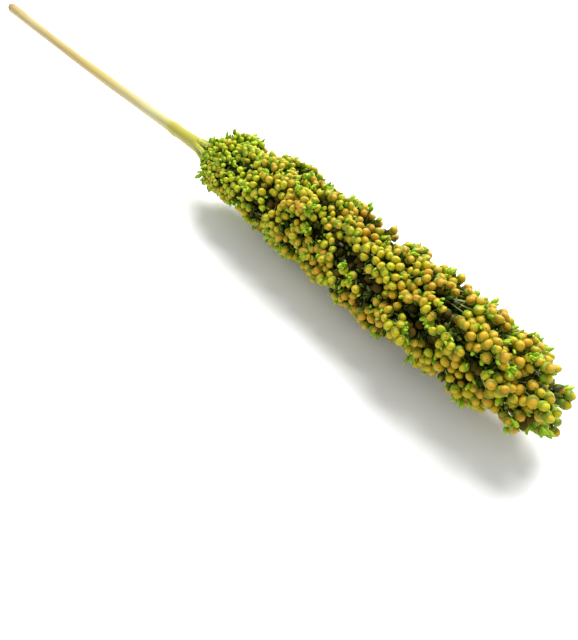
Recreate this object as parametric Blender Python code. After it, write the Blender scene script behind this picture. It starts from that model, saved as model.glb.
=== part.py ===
"""Cut sorghum seed head: one straw stalk with one panicle of seeds, lying on a surface.

The head lies along +X, with its tip at +X and the stalk's cut end at -X. +Z is up and the surface
is z = 0. The origin is the flat spot under the belly of the head. Sizes are in metres.
"""

import math
import random

import bmesh
import bpy
from mathutils import Matrix, Vector

SEED = 11
GOLDEN_ANGLE = math.pi * (3 - math.sqrt(5))

# Head: its length from the neck to the tip, and where it lies
HEAD_LENGTH = 0.210
NECK_X = -0.092
NECK_SIDE = -0.0035
NECK_HEIGHT = 0.0235
TIP_HEIGHT = 0.0215
SIDE_BOW = 0.0065
SIDE_BOW_END = 0.65

# Envelope: the outer radius of the head at shares of its length, seeds included
ENVELOPE = (
    (0.0, 0.0040),
    (0.04, 0.0070),
    (0.09, 0.0140),
    (0.15, 0.0205),
    (0.28, 0.0243),
    (0.45, 0.0250),
    (0.70, 0.0236),
    (0.86, 0.0222),
    (0.95, 0.0192),
    (1.0, 0.0150),
)

# Sprays: the branches that carry the seeds
SPRAY_COUNT = 70
SPRAY_REACH = 0.034
SPRAY_RADIUS = 0.0078
FIRST_SPRAY_END = 0.11
LAST_SPRAY_END = 1.008
SPRAY_STATIONS = 7
STRAY_SPRAYS = {3: 0.0040, 16: 0.0045, 27: 0.0025, 38: 0.0030, 51: 0.0030, 60: 0.0035}
LOW_TIP_SPRAY = (1.005, -1.35, 0.0068, 0.0010)

# Seeds, about twice life size so that few cover the head
SEED_RADIUS = 0.0045
SEED_FLATTENING = 0.90
SEED_ROOT = 1.8
SEED_PITCH = 0.0088
LEAST_SPACING = 0.0056
SEED_SIDES = 5
SEED_RINGS = 3
SEED_START = 0.040
SEED_END = 0.97
TIP_SPRAYS_FROM = 0.90
TIP_SEEDS_PER_SPRAY = 12
TIP_SEED_SPACING = 0.0081
FLAT_DEPTH = 0.0007
RESTING_HEIGHT = SEED_RADIUS * SEED_FLATTENING - FLAT_DEPTH
BELLY_HEIGHT = 0.0078
SLIVER = 0.00003

# Spikelets: narrow pointed husks that stand out where sprays end near the tip
SPIKELET_LENGTH = 0.0062
SPIKELET_RADIUS = 0.0018
SPIKELET_SIDES = 4
SPIKELETS_FROM = 0.84

# Core: the mass of branches inside, which the seeds stand out of
CORE_INSET = 0.0072
CORE_STATIONS = 14
CORE_START = 0.012
CORE_END = 0.965
CORE_ROUND_FROM = 0.89
CORE_LEAST_RADIUS = 0.0055
INNER_SHARE = 0.6

# Stalk
STALK_LENGTH = 0.335
STALK_STATIONS = 22
CUT_RADIUS = 0.0042
STALK_RADIUS = 0.0034
NECK_RADIUS = 0.0041
CUT_END_HEIGHT = 0.0248
CUT_END_SIDE = -0.0150
STALK_SAG = 0.002
RACHIS_RUN = 0.075
RACHIS_RADIUS = 0.0028
RACHIS_END_RADIUS = 0.0018
JOINT_CLEARANCE = 0.0004
KNOT_SHARE = 0.905
KNOT_SWELL = 0.0007


def smooth(t):
    """Ease from 0 to 1 with no corner at either end."""
    t = min(1.0, max(0.0, t))
    return t * t * (3 - 2 * t)


def envelope(t):
    """Outer radius of the head at share t of its length."""
    t = min(1.0, max(0.0, t))
    for (t0, r0), (t1, r1) in zip(ENVELOPE, ENVELOPE[1:]):
        if t <= t1:
            return r0 + (r1 - r0) * (t - t0) / (t1 - t0)
    return ENVELOPE[-1][1]


def axis_point(t):
    """Point on the head's middle line at share t of its length."""
    height = NECK_HEIGHT + (TIP_HEIGHT - NECK_HEIGHT) * smooth(t)
    side = NECK_SIDE + SIDE_BOW * math.sin(math.pi / 2 * min(1.0, max(0.0, t / SIDE_BOW_END)))
    return Vector((NECK_X + HEAD_LENGTH * t, side, height))


def head_point(t, radius, azimuth):
    """Point at a radius from the middle line, with azimuth 0 at +Y and a quarter turn at +Z."""
    return axis_point(t) + Vector((0, radius * math.cos(azimuth), radius * math.sin(azimuth)))


def spray_radius(u, full):
    """Radius of a spray, from its root at u = 0 to its end at u = 1."""
    swell = 0.35 + 0.65 * smooth(u / 0.45)
    taper = 1 - 0.45 * smooth((u - 0.62) / 0.38)
    return full * swell * taper


def spray_line(end_t, azimuth, full, lift=0.0, twist=0.0):
    """Middle line of one spray as (point, radius) pairs, from the rachis to its free end."""
    root_t = max(0.0, end_t - SPRAY_REACH / HEAD_LENGTH)
    line = []
    for step in range(SPRAY_STATIONS):
        u = step / (SPRAY_STATIONS - 1)
        t = root_t + (end_t - root_t) * u
        radius = spray_radius(u, full)
        reach = (envelope(end_t) - full) * u ** 0.75
        room = max(0.0, envelope(t) - radius)
        out = min(reach, room) + lift * smooth(u)
        point = head_point(t, max(0.0, out), azimuth + twist * (u - 0.5))
        point.z = max(point.z, radius)
        line.append((point, radius))
    return line


def all_sprays():
    """The sprays in order along the head, and one more low at the tip."""
    rng = random.Random(SEED)
    lines = []
    for index in range(SPRAY_COUNT):
        share = (index + 0.5) / SPRAY_COUNT
        end_t = FIRST_SPRAY_END + (LAST_SPRAY_END - FIRST_SPRAY_END) * share
        azimuth = index * GOLDEN_ANGLE + rng.uniform(-0.22, 0.22)
        full = SPRAY_RADIUS * rng.uniform(0.88, 1.10) * (1 - 0.22 * smooth((end_t - 0.75) / 0.25))
        lift = rng.uniform(-0.0022, 0.0014) + STRAY_SPRAYS.get(index, 0.0)
        lines.append(spray_line(end_t, azimuth, full, lift, rng.uniform(-0.22, 0.22)))
    lines.append(spray_line(*LOW_TIP_SPRAY))
    return lines


def along(line, u):
    """Point, radius and direction on a spray's middle line at share u."""
    place = min(max(u, 0.0), 1.0) * (len(line) - 1)
    k = min(int(place), len(line) - 2)
    (p0, r0), (p1, r1) = line[k], line[k + 1]
    return p0.lerp(p1, place - k), r0 + (r1 - r0) * (place - k), (p1 - p0).normalized()


def side_vectors(direction):
    """Two unit vectors across a direction."""
    first = direction.orthogonal().normalized()
    return first, direction.cross(first)


def lobe_radius(t, azimuth, sprays):
    """Radius at which a ray from the middle line leaves the outermost spray."""
    middle = axis_point(t)
    ray = Vector((0, math.cos(azimuth), math.sin(azimuth)))
    found = envelope(t) - CORE_INSET + SEED_RADIUS
    for line in sprays:
        if line[0][0].x - SPRAY_RADIUS > middle.x or line[-1][0].x + SPRAY_RADIUS < middle.x:
            continue
        for step in range(2 * SPRAY_STATIONS):
            centre, radius, _ = along(line, step / (2 * SPRAY_STATIONS - 1))
            offset = centre - middle
            forward = offset.dot(ray)
            aside = offset.length_squared - forward * forward
            if aside < radius * radius:
                found = max(found, forward + math.sqrt(radius * radius - aside))
    return found


def side_seeds(sprays, rng):
    """Seeds in an even spiral over the sides of the head, each on the spray that is outermost there."""
    t = SEED_START
    index = 0
    while t < SEED_END:
        azimuth = index * GOLDEN_ANGLE + rng.uniform(-0.05, 0.05)
        out = lobe_radius(t, azimuth, sprays) - SEED_RADIUS * rng.uniform(0.9, 1.1)
        spot = head_point(t, out, azimuth)
        yield spot, (spot - axis_point(t + 0.02)).normalized()
        index += 1
        t += SEED_PITCH * SEED_PITCH * 0.866 / (math.tau * (envelope(t) - SEED_RADIUS)) / HEAD_LENGTH


def ends_at_tip(line):
    return line[-1][0].x > NECK_X + TIP_SPRAYS_FROM * HEAD_LENGTH


def tip_seeds(sprays, rng):
    """Seeds round the free ends of the last sprays, which point forward at the tip."""
    for index, line in enumerate(sprays):
        if not ends_at_tip(line):
            continue
        for j in range(TIP_SEEDS_PER_SPRAY):
            u = 0.62 + 0.40 * (j + 0.5) / TIP_SEEDS_PER_SPRAY
            centre, radius, direction = along(line, u)
            first, second = side_vectors(direction)
            angle = j * GOLDEN_ANGLE + index
            out = first * math.cos(angle) + second * math.sin(angle)
            out = (out + direction * 1.6 * smooth((u - 0.85) / 0.17)).normalized()
            yield centre + out * (radius - SEED_RADIUS * rng.uniform(0.8, 1.0)), out


def seed_places(sprays):
    """Centres and outward directions of the seeds.

    The first one has the flat spot at the origin. The weight of the head presses the seeds of its
    belly down to the surface, where they all end flat.
    """
    rng = random.Random(SEED + 1)
    down = Vector((0, 0, -1))
    kept = [(Vector((0, 0, RESTING_HEIGHT)), down)]
    for found, spacing in ((side_seeds, LEAST_SPACING), (tip_seeds, TIP_SEED_SPACING)):
        for spot, out in found(sprays, rng):
            if spot.z < BELLY_HEIGHT:
                spot.z = RESTING_HEIGHT
                out = down
            if all((spot - other).length > spacing for other, _ in kept):
                kept.append((spot, out))
    return kept


def turned_to(direction, place, scale):
    """Matrix that turns +Z to a direction, at a place and scale."""
    turn = direction.to_track_quat("Z", "Y").to_matrix().to_4x4()
    return Matrix.Translation(place) @ turn @ Matrix.Diagonal((*scale, 1))


def material(name, colour, roughness):
    made = bpy.data.materials.new(name)
    made.use_nodes = True
    shader = made.node_tree.nodes["Principled BSDF"]
    shader.inputs["Base Color"].default_value = (*colour, 1)
    shader.inputs["Roughness"].default_value = roughness
    shader.inputs["Metallic"].default_value = 0.0
    return made


def new_object(name, mesh, collection):
    made = bpy.data.objects.new(name, mesh)
    collection.objects.link(made)
    return made


def tube(name, points, radii, resolution, collection):
    """Closed tube through points, with a radius at each, as a mesh whose caps are welded."""
    curve = bpy.data.curves.new(name, "CURVE")
    curve.dimensions = "3D"
    curve.bevel_depth = 1.0
    curve.bevel_resolution = resolution
    curve.use_fill_caps = True
    spline = curve.splines.new("POLY")
    spline.points.add(len(points) - 1)
    for spot, point, radius in zip(spline.points, points, radii):
        spot.co = (*point, 1)
        spot.radius = radius
    guide = new_object(name + "_guide", curve, collection)
    bpy.context.view_layer.update()
    graph = bpy.context.evaluated_depsgraph_get()
    mesh = bpy.data.meshes.new_from_object(guide.evaluated_get(graph))
    bpy.data.objects.remove(guide)
    made = new_object(name, mesh, collection)
    weld_caps(mesh)
    return made


def weld_caps(mesh):
    shape = bmesh.new()
    shape.from_mesh(mesh)
    bmesh.ops.remove_doubles(shape, verts=shape.verts, dist=0.00002)
    bmesh.ops.recalc_face_normals(shape, faces=shape.faces)
    shape.to_mesh(mesh)
    shape.free()


def primitive_mesh(name):
    """The mesh of the primitive just added, whose object is removed."""
    added = bpy.context.object
    mesh = added.data
    mesh.name = name
    bpy.data.objects.remove(added)
    return mesh


def rounded(t):
    """Share of the core's radius left towards its end at the tip."""
    past = max(0.0, (t - CORE_ROUND_FROM) / (CORE_END - CORE_ROUND_FROM))
    return math.sqrt(max(0.0, 1 - 0.8 * past * past))


def core(collection):
    """Spindle of packed branches inside the head."""
    shares = [
        CORE_START + (CORE_END - CORE_START) * k / (CORE_STATIONS - 1) for k in range(CORE_STATIONS)
    ]
    points = [axis_point(t) for t in shares]
    radii = [max(CORE_LEAST_RADIUS, (envelope(t) - CORE_INSET) * rounded(t)) for t in shares]
    return tube("seed_head", points, radii, 4, collection)


def add_inner_sprays(sprays, collection):
    """Bodies inside the sprays that stand off the core, so that their seeds hang together there."""
    for index, line in enumerate(sprays):
        if not (ends_at_tip(line) or index in STRAY_SPRAYS):
            continue
        shares = (0.35, 0.6, 0.8, 0.97)
        points = [along(line, u)[0] for u in shares]
        radii = [INNER_SHARE * along(line, u)[1] for u in shares]
        tube(f"inner_spray_{index}", points, radii, 1, collection)


def add_seeds(places, collection):
    bpy.ops.mesh.primitive_uv_sphere_add(segments=SEED_SIDES, ring_count=SEED_RINGS, radius=1.0)
    mesh = primitive_mesh("seed")
    for vertex in mesh.vertices:
        if vertex.co.z < 0:
            vertex.co.z *= SEED_ROOT
    rng = random.Random(SEED + 5)
    for index, (spot, out) in enumerate(places):
        size = SEED_RADIUS * rng.uniform(0.92, 1.06) if index else SEED_RADIUS
        seed = new_object(f"seed_{index}", mesh, collection)
        roll = Matrix.Rotation(rng.uniform(0, math.tau), 4, "Z")
        seed.matrix_world = turned_to(out, spot, (size, size, size * SEED_FLATTENING)) @ roll


def add_spikelets(sprays, collection):
    """A pointed spikelet standing out of the end of each spray in the outer half of the head."""
    bpy.ops.mesh.primitive_cone_add(vertices=SPIKELET_SIDES, radius1=1.0, radius2=0.0, depth=1.0)
    mesh = primitive_mesh("spikelet")
    mesh.transform(Matrix.Translation((0, 0, 0.5)))
    size = (SPIKELET_RADIUS, SPIKELET_RADIUS, SPIKELET_LENGTH)
    for index, line in enumerate(sprays):
        centre, radius, direction = along(line, 0.97)
        share = (centre.x - NECK_X) / HEAD_LENGTH
        if share < SPIKELETS_FROM or centre.z < radius + SPIKELET_LENGTH:
            continue
        middle = axis_point(share)
        side = Vector((0, centre.y - middle.y, centre.z - middle.z)).normalized()
        lean = (direction + side * 0.5).normalized()
        root = centre + side * radius * 0.45 + lean * radius * 0.3
        spikelet = new_object(f"spikelet_{index}", mesh, collection)
        spikelet.matrix_world = turned_to(lean, root, size)


def boolean(target, operation, collection_or_object, solver="MANIFOLD"):
    """Apply one Boolean and remove what it used."""
    modifier = target.modifiers.new(operation.lower(), "BOOLEAN")
    modifier.operation = operation
    modifier.solver = solver
    many = isinstance(collection_or_object, bpy.types.Collection)
    modifier.operand_type = "COLLECTION" if many else "OBJECT"
    if many:
        modifier.collection = collection_or_object
    else:
        modifier.object = collection_or_object
    bpy.context.view_layer.objects.active = target
    bpy.ops.object.modifier_apply(modifier=modifier.name)
    used = list(collection_or_object.objects) if many else [collection_or_object]
    for obj in used:
        bpy.data.objects.remove(obj)


def stalk_line():
    """Points and radii of the stalk, from its cut end to the rachis inside the head."""
    points, radii = [], []
    neck = axis_point(0.0)
    for k in range(STALK_STATIONS):
        u = k / (STALK_STATIONS - 1)
        x = NECK_X - STALK_LENGTH * (1 - u)
        height = CUT_END_HEIGHT + (neck.z - CUT_END_HEIGHT) * u - STALK_SAG * math.sin(math.pi * u)
        side = CUT_END_SIDE + (neck.y - CUT_END_SIDE) * u
        thickness = CUT_RADIUS + (STALK_RADIUS - CUT_RADIUS) * smooth(u / 0.35)
        thickness += (NECK_RADIUS - STALK_RADIUS) * smooth((u - 0.9) / 0.1)
        thickness += KNOT_SWELL * math.exp(-(((u - KNOT_SHARE) / 0.014) ** 2))
        points.append(Vector((x, side, height)))
        radii.append(thickness)
    return points, radii


def rachis_line(extra):
    """The stalk's run inside the head, thickened by extra for the socket that holds it."""
    points, radii = [], []
    for k in range(5):
        t = CORE_START * 0.2 + (RACHIS_RUN / HEAD_LENGTH) * k / 4
        points.append(axis_point(t))
        radii.append(RACHIS_RADIUS + (RACHIS_END_RADIUS - RACHIS_RADIUS) * k / 4 + extra)
    return points, radii


def make_stalk(collection):
    points, radii = stalk_line()
    inner_points, inner_radii = rachis_line(0.0)
    points += inner_points
    radii += inner_radii
    return tube("stalk", points, radii, 3, collection)


def cut_socket(head, cutters):
    """Plain hole for the rachis, open at the neck."""
    points, radii = rachis_line(JOINT_CLEARANCE)
    points.insert(0, points[0] - Vector((0.02, 0, 0)))
    radii.insert(0, NECK_RADIUS + JOINT_CLEARANCE)
    points[-1] = points[-1] + Vector((JOINT_CLEARANCE, 0, 0))
    boolean(head, "DIFFERENCE", tube("socket_cutter", points, radii, 3, cutters))


def cut_flat(head, cutters):
    """Take off what would lie below the surface, which leaves small flat spots on the lowest seeds."""
    bpy.ops.mesh.primitive_cube_add(size=1.0)
    box = new_object("surface_cutter", primitive_mesh("surface"), cutters)
    box.matrix_world = Matrix.Translation((0, 0, -0.05)) @ Matrix.Diagonal((0.6, 0.3, 0.1, 1))
    boolean(head, "DIFFERENCE", box)


def keep_largest(mesh):
    """Close up slivers and drop loose scraps, so that the head is one clean body."""
    shape = bmesh.new()
    shape.from_mesh(mesh)
    bmesh.ops.remove_doubles(shape, verts=shape.verts, dist=SLIVER)
    bmesh.ops.dissolve_degenerate(shape, edges=shape.edges, dist=SLIVER)
    left = set(shape.verts)
    bodies = []
    while left:
        body = {left.pop()}
        edge = list(body)
        while edge:
            for link in edge.pop().link_edges:
                for vert in link.verts:
                    if vert in left:
                        left.remove(vert)
                        body.add(vert)
                        edge.append(vert)
        bodies.append(body)
    bodies.sort(key=len)
    for body in bodies[:-1]:
        bmesh.ops.delete(shape, geom=list(body), context="VERTS")
    shape.to_mesh(mesh)
    shape.free()
    return len(bodies) - 1


def make_head(collection, cutters):
    sprays = all_sprays()
    places = seed_places(sprays)
    head = core(collection)
    add_inner_sprays(sprays, cutters)
    add_seeds(places, cutters)
    add_spikelets(sprays, cutters)
    boolean(head, "UNION", cutters)
    cut_flat(head, cutters)
    cut_socket(head, cutters)
    scraps = keep_largest(head.data)
    print(len(sprays), "sprays,", len(places), "seeds,", scraps, "scraps dropped")
    return head


def main():
    for obj in list(bpy.data.objects):
        bpy.data.objects.remove(obj)
    collection = bpy.data.collections.new("sorghum_seed_head")
    cutters = bpy.data.collections.new("cutters")
    for one in (collection, cutters):
        bpy.context.scene.collection.children.link(one)
    head = make_head(collection, cutters)
    stalk = make_stalk(collection)
    head.data.materials.clear()
    head.data.materials.append(material("ripe_seed", (0.42, 0.30, 0.06), 0.55))
    stalk.data.materials.append(material("dry_straw", (0.62, 0.55, 0.20), 0.6))
    stalk.data.shade_smooth()
    for made in (head, stalk):
        print(made.name, sum(len(p.vertices) - 2 for p in made.data.polygons), "triangles")


main()
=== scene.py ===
# %% [markdown]
# # A cut sorghum head
#
# A sorghum head is a straw stem that runs on inside the head as a thin middle stalk, the rachis.
# Short branches leave the rachis all round, each branch splits into twigs, and every twig ends in a
# pair of spikelets: one holds a round seed between two green husks, the other stays empty and narrow.
# The solids that come with this lesson give the outer form. Here each solid is replaced by the
# finer pieces that it stands for, in the same place and of the same size.

# %% Load the solids and measure their box
import math
import random

import bpy
import numpy as np
from mathutils import Matrix, Vector, kdtree, noise


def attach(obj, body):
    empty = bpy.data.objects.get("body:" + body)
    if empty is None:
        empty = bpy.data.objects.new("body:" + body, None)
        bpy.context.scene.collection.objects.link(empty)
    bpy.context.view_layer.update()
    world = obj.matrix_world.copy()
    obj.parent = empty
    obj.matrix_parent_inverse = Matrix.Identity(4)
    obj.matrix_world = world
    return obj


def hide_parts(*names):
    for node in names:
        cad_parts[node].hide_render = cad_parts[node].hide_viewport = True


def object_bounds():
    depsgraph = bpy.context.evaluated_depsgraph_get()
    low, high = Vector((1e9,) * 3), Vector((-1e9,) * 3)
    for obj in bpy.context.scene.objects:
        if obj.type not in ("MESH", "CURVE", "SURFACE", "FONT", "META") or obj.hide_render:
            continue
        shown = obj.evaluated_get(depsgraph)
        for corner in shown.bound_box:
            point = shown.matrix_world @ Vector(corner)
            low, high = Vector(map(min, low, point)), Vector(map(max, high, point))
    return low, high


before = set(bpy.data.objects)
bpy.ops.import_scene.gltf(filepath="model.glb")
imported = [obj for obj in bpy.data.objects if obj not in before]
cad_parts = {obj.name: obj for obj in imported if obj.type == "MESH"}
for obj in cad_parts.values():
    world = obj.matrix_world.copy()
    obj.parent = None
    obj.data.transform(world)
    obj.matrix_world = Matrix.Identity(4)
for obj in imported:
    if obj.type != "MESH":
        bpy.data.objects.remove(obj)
CAD_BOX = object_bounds()
print("solids:", sorted(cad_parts), "box", CAD_BOX)

# %% [markdown]
# ## The camera
#
# The head is seen from about 15 cm above the table, from beside its tip, with the stem running off
# to the upper left. A short lens that near makes the tip look larger than the neck. The picture is
# higher than it is wide, so the lens is given for its height.

# %% Camera
PICTURE_HEIGHT_PX = 640
FOCAL_LENGTH_PX = 494.0
SENSOR_MM = 36.0
CAMERA_PLACE = (0.13858, -0.1135, 0.1515)
CAMERA_HEADING = math.radians(144.2)
CAMERA_DIP = math.radians(46.0)

camera = bpy.data.objects.new("camera", bpy.data.cameras.new("camera"))
bpy.context.scene.collection.objects.link(camera)
camera.data.sensor_width = SENSOR_MM
camera.data.lens = SENSOR_MM * FOCAL_LENGTH_PX / PICTURE_HEIGHT_PX
camera.data.clip_start = 0.005
camera.location = CAMERA_PLACE
level = math.cos(CAMERA_DIP)
view_direction = Vector(
    (math.cos(CAMERA_HEADING) * level, math.sin(CAMERA_HEADING) * level, -math.sin(CAMERA_DIP))
)
camera.rotation_mode = "QUATERNION"
camera.rotation_quaternion = view_direction.to_track_quat("-Z", "Y")
bpy.context.scene.camera = camera
print("camera lens", round(camera.data.lens, 1), "mm")

# %% [markdown]
# ## Where the branches lie
#
# The solids were made from a layout: a middle line, an envelope that says how thick the head is at
# each share of its length, and 71 sprays. All but one leave the middle line by the golden angle, as
# leaves do, and the last lies low at the tip. The finer pieces need the same sprays in the same
# places, so the layout is worked out again here from the same few values and the same random seed.

# %% Values of the layout, in metres
LAYOUT_SEED = 11
GOLDEN_ANGLE = math.pi * (3 - math.sqrt(5))
HEAD_LENGTH = 0.210
NECK_X = -0.092
NECK_SIDE = -0.0035
NECK_HEIGHT = 0.0235
TIP_HEIGHT = 0.0215
SIDE_BOW = 0.0065
SIDE_BOW_END = 0.65
ENVELOPE = (
    (0.0, 0.0040), (0.04, 0.0070), (0.09, 0.0140), (0.15, 0.0205), (0.28, 0.0243),
    (0.45, 0.0250), (0.70, 0.0236), (0.86, 0.0222), (0.95, 0.0192), (1.0, 0.0150),
)
SPRAY_COUNT = 70
SPRAY_REACH = 0.034
SPRAY_RADIUS = 0.0078
FIRST_SPRAY_END = 0.11
LAST_SPRAY_END = 1.008
SPRAY_STATIONS = 7
STRAY_SPRAYS = {3: 0.0040, 16: 0.0045, 27: 0.0025, 38: 0.0030, 51: 0.0030, 60: 0.0035}
LOW_TIP_SPRAY = (1.005, -1.35, 0.0068, 0.0010)

# %% The middle line and the envelope
def smooth(t):
    """Ease from 0 to 1 with no corner at either end."""
    t = min(1.0, max(0.0, t))
    return t * t * (3 - 2 * t)


def envelope(t):
    """Outer radius of the head at share t of its length."""
    t = min(1.0, max(0.0, t))
    for (t0, r0), (t1, r1) in zip(ENVELOPE, ENVELOPE[1:]):
        if t <= t1:
            return r0 + (r1 - r0) * (t - t0) / (t1 - t0)
    return ENVELOPE[-1][1]


def axis_point(t):
    """Point on the head's middle line at share t of its length."""
    height = NECK_HEIGHT + (TIP_HEIGHT - NECK_HEIGHT) * smooth(t)
    side = NECK_SIDE + SIDE_BOW * math.sin(math.pi / 2 * min(1.0, max(0.0, t / SIDE_BOW_END)))
    return Vector((NECK_X + HEAD_LENGTH * t, side, height))


def head_point(t, radius, azimuth):
    """Point at a radius from the middle line, with azimuth 0 at +Y and a quarter turn at +Z."""
    return axis_point(t) + Vector((0, radius * math.cos(azimuth), radius * math.sin(azimuth)))


# %% The sprays
def spray_radius(u, full):
    """Radius of a spray, from its root at u = 0 to its end at u = 1."""
    swell = 0.35 + 0.65 * smooth(u / 0.45)
    taper = 1 - 0.45 * smooth((u - 0.62) / 0.38)
    return full * swell * taper


def spray_line(end_t, azimuth, full, lift=0.0, twist=0.0):
    """Middle line of one spray as (point, radius) pairs, from the rachis to its free end."""
    root_t = max(0.0, end_t - SPRAY_REACH / HEAD_LENGTH)
    line = []
    for step in range(SPRAY_STATIONS):
        u = step / (SPRAY_STATIONS - 1)
        t = root_t + (end_t - root_t) * u
        radius = spray_radius(u, full)
        reach = (envelope(end_t) - full) * u**0.75
        room = max(0.0, envelope(t) - radius)
        out = min(reach, room) + lift * smooth(u)
        point = head_point(t, max(0.0, out), azimuth + twist * (u - 0.5))
        point.z = max(point.z, radius)
        line.append((point, radius))
    return line


def along(line, u):
    """Point, radius and direction on a spray's middle line at share u."""
    place = min(max(u, 0.0), 1.0) * (len(line) - 1)
    k = min(int(place), len(line) - 2)
    (p0, r0), (p1, r1) = line[k], line[k + 1]
    return p0.lerp(p1, place - k), r0 + (r1 - r0) * (place - k), (p1 - p0).normalized()


def all_sprays():
    """The sprays in order along the head, and one more low at the tip."""
    rng = random.Random(LAYOUT_SEED)
    lines = []
    for index in range(SPRAY_COUNT):
        share = (index + 0.5) / SPRAY_COUNT
        end_t = FIRST_SPRAY_END + (LAST_SPRAY_END - FIRST_SPRAY_END) * share
        azimuth = index * GOLDEN_ANGLE + rng.uniform(-0.22, 0.22)
        full = SPRAY_RADIUS * rng.uniform(0.88, 1.10) * (1 - 0.22 * smooth((end_t - 0.75) / 0.25))
        lift = rng.uniform(-0.0022, 0.0014) + STRAY_SPRAYS.get(index, 0.0)
        lines.append(spray_line(end_t, azimuth, full, lift, rng.uniform(-0.22, 0.22)))
    lines.append(spray_line(*LOW_TIP_SPRAY))
    return lines


sprays = all_sprays()
print(len(sprays), "sprays")

# %% [markdown]
# ## Where the seeds sit
#
# On the real head the twigs of a spray crowd its seeds into bunches, with dark gaps between them.
# So rays go out from the middle line, evenly over the head, and each gives the place of a seed where
# it leaves the outermost spray. Voronoi cells part the surface into bunches: a seed near the edge of
# its cell sits lower, and along some of the edges it is left out. A second set lies one seed deeper
# and shows through the gaps. Sprays that stand free, such as those at the tip, get seeds all round.
# A few rounds of pushing keep the seeds from sinking into each other. A ripe grain here is about
# 3.6 mm across, and that sets the other distances. Shares are of the head's length, from the neck.

# %% Values for the seeds
SEED_RADIUS = 0.00172
NECK_GROWTH = 0.74
FIRST_SEED_AT = 0.036
BELLY_HEIGHT = 0.0042

# Rays: how far apart they meet the surface, and where they run
TRIANGLE_ROWS = 0.866
RAY_PITCH = 0.0029
DEEP_PITCH = 0.0031
DEEP_STEP = 0.0029
RAY_SHARES = (0.03, 0.985)
VALLEY_INSET = 0.0050
VALLEYS_END = 0.93
TIP_RAYS_START = 0.90
TIP_RAYS = 260
DEEP_TIP_RAYS = 200
TURN_JITTER = 0.05
LEAST_REACH = 0.003

# Distances that keep seeds apart, and gather them
BARE_DISTANCE = 0.0026
LEAST_DISTANCE = 0.0024
NEIGHBOUR_DISTANCE = 0.0043
LEAST_NEIGHBOURS = 2
PUSH_ROUNDS = 5
TOUCHING = 0.91

# Bunches, and the gaps between them
BUNCHES_PER_METRE = (52, 72, 72)
BUNCH_EDGE = 0.42
EDGE_DEPTH = 0.0036
GAP_EDGE = 0.165
TIP_GAPS = 0.5
GAP_PATCHES_PER_METRE = 75
FAN_PER_METRE = 55

# Free sprays, as rows of spheres
SPHERES_PER_SPRAY = 13
SPHERE_SEARCH = 0.0095
SEED_STEP = 0.0031
MOST_SUNK = 0.0007
FREE_FROM = 0.86
LEAST_DEEP_SPRAY = 0.0040


class Seed:
    """Where one seed sits, which way its top points, and the spray that carries it."""

    def __init__(self, centre, lean, size, spray, u, is_deep):
        self.centre = centre
        self.lean = lean
        self.size = size
        self.spray = spray
        self.u = u
        self.is_deep = is_deep


def share_of(point):
    """Share of the head's length at which a point lies."""
    return (point.x - NECK_X) / HEAD_LENGTH


def side_vectors(direction):
    """Two unit vectors across a direction."""
    first = direction.orthogonal().normalized()
    return first, direction.cross(first)


samples = []
for number, line in enumerate(sprays):
    for step in range(SPHERES_PER_SPRAY):
        u = step / (SPHERES_PER_SPRAY - 1)
        centre, radius, _ = along(line, u)
        samples.append((centre, radius, number, u))
sample_tree = kdtree.KDTree(len(samples))
for place, sample in enumerate(samples):
    sample_tree.insert(sample[0], place)
sample_tree.balance()
sphere_centres = np.array([tuple(sample[0]) for sample in samples])
sphere_radii = np.array([sample[1] for sample in samples])


def sunk_in_neighbour(point, own):
    """How deep a point lies inside any spray but its own, negative outside."""
    deepest = -1.0
    for _, place, distance in sample_tree.find_range(point, SPHERE_SEARCH):
        _, radius, number, _ = samples[place]
        if number != own:
            deepest = max(deepest, radius - distance)
    return deepest


def surface_distance(middle, ray):
    """How far along a ray the outermost spray lies, or 0 where there is none."""
    offsets = sphere_centres - np.array(middle)
    forward = offsets @ np.array(ray)
    aside = (offsets**2).sum(axis=1) - forward**2
    hit = (aside < sphere_radii**2) & (forward > 0)
    if not hit.any():
        return 0.0
    return float((forward + np.sqrt(np.maximum(0, sphere_radii**2 - aside)))[hit].max())


# %% Bunches
def bunch_at(point):
    """Drop of the surface at a point in a bunch, whether it is a gap, and the bunch's middle."""
    scaled = Vector([c * s for c, s in zip(point, BUNCHES_PER_METRE)])
    distances, middles = noise.voronoi(scaled)
    edge = distances[1] - distances[0]
    middle = Vector([c / s for c, s in zip(middles[0], BUNCHES_PER_METRE)])
    share = share_of(point)
    loose = smooth((share - 0.10) / 0.15) * (1 - smooth((share - 0.93) / 0.05))
    patch = smooth(0.5 + 1.6 * noise.noise(point * GAP_PATCHES_PER_METRE)) * loose
    drop = EDGE_DEPTH * (1 - smooth(edge / BUNCH_EDGE)) * (0.35 + 0.65 * loose)
    widening = 1 + TIP_GAPS * smooth((share - 0.55) / 0.2)
    return drop, edge < GAP_EDGE * patch * widening, middle


def growth(point):
    """Size of the seeds at a place on the head: they are smaller and unripe near the neck."""
    return NECK_GROWTH + (1 - NECK_GROWTH) * smooth(share_of(point) / 0.34)


def random_vector(rng):
    """Vector with each part between -1 and 1."""
    return Vector([rng.uniform(-1, 1) for _ in range(3)])


def new_seed(centre, out, spray, u, is_deep, rng):
    """A seed whose top points outward and along its spray, with some disorder."""
    size = SEED_RADIUS * growth(centre) * rng.uniform(0.84, 1.12)
    jitter = random_vector(rng)
    lean = (out * 0.8 + along(sprays[spray], u)[2] * 0.7 + jitter * 0.6).normalized()
    return Seed(centre + jitter * 0.0004, lean, size, spray, u, is_deep)


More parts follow.
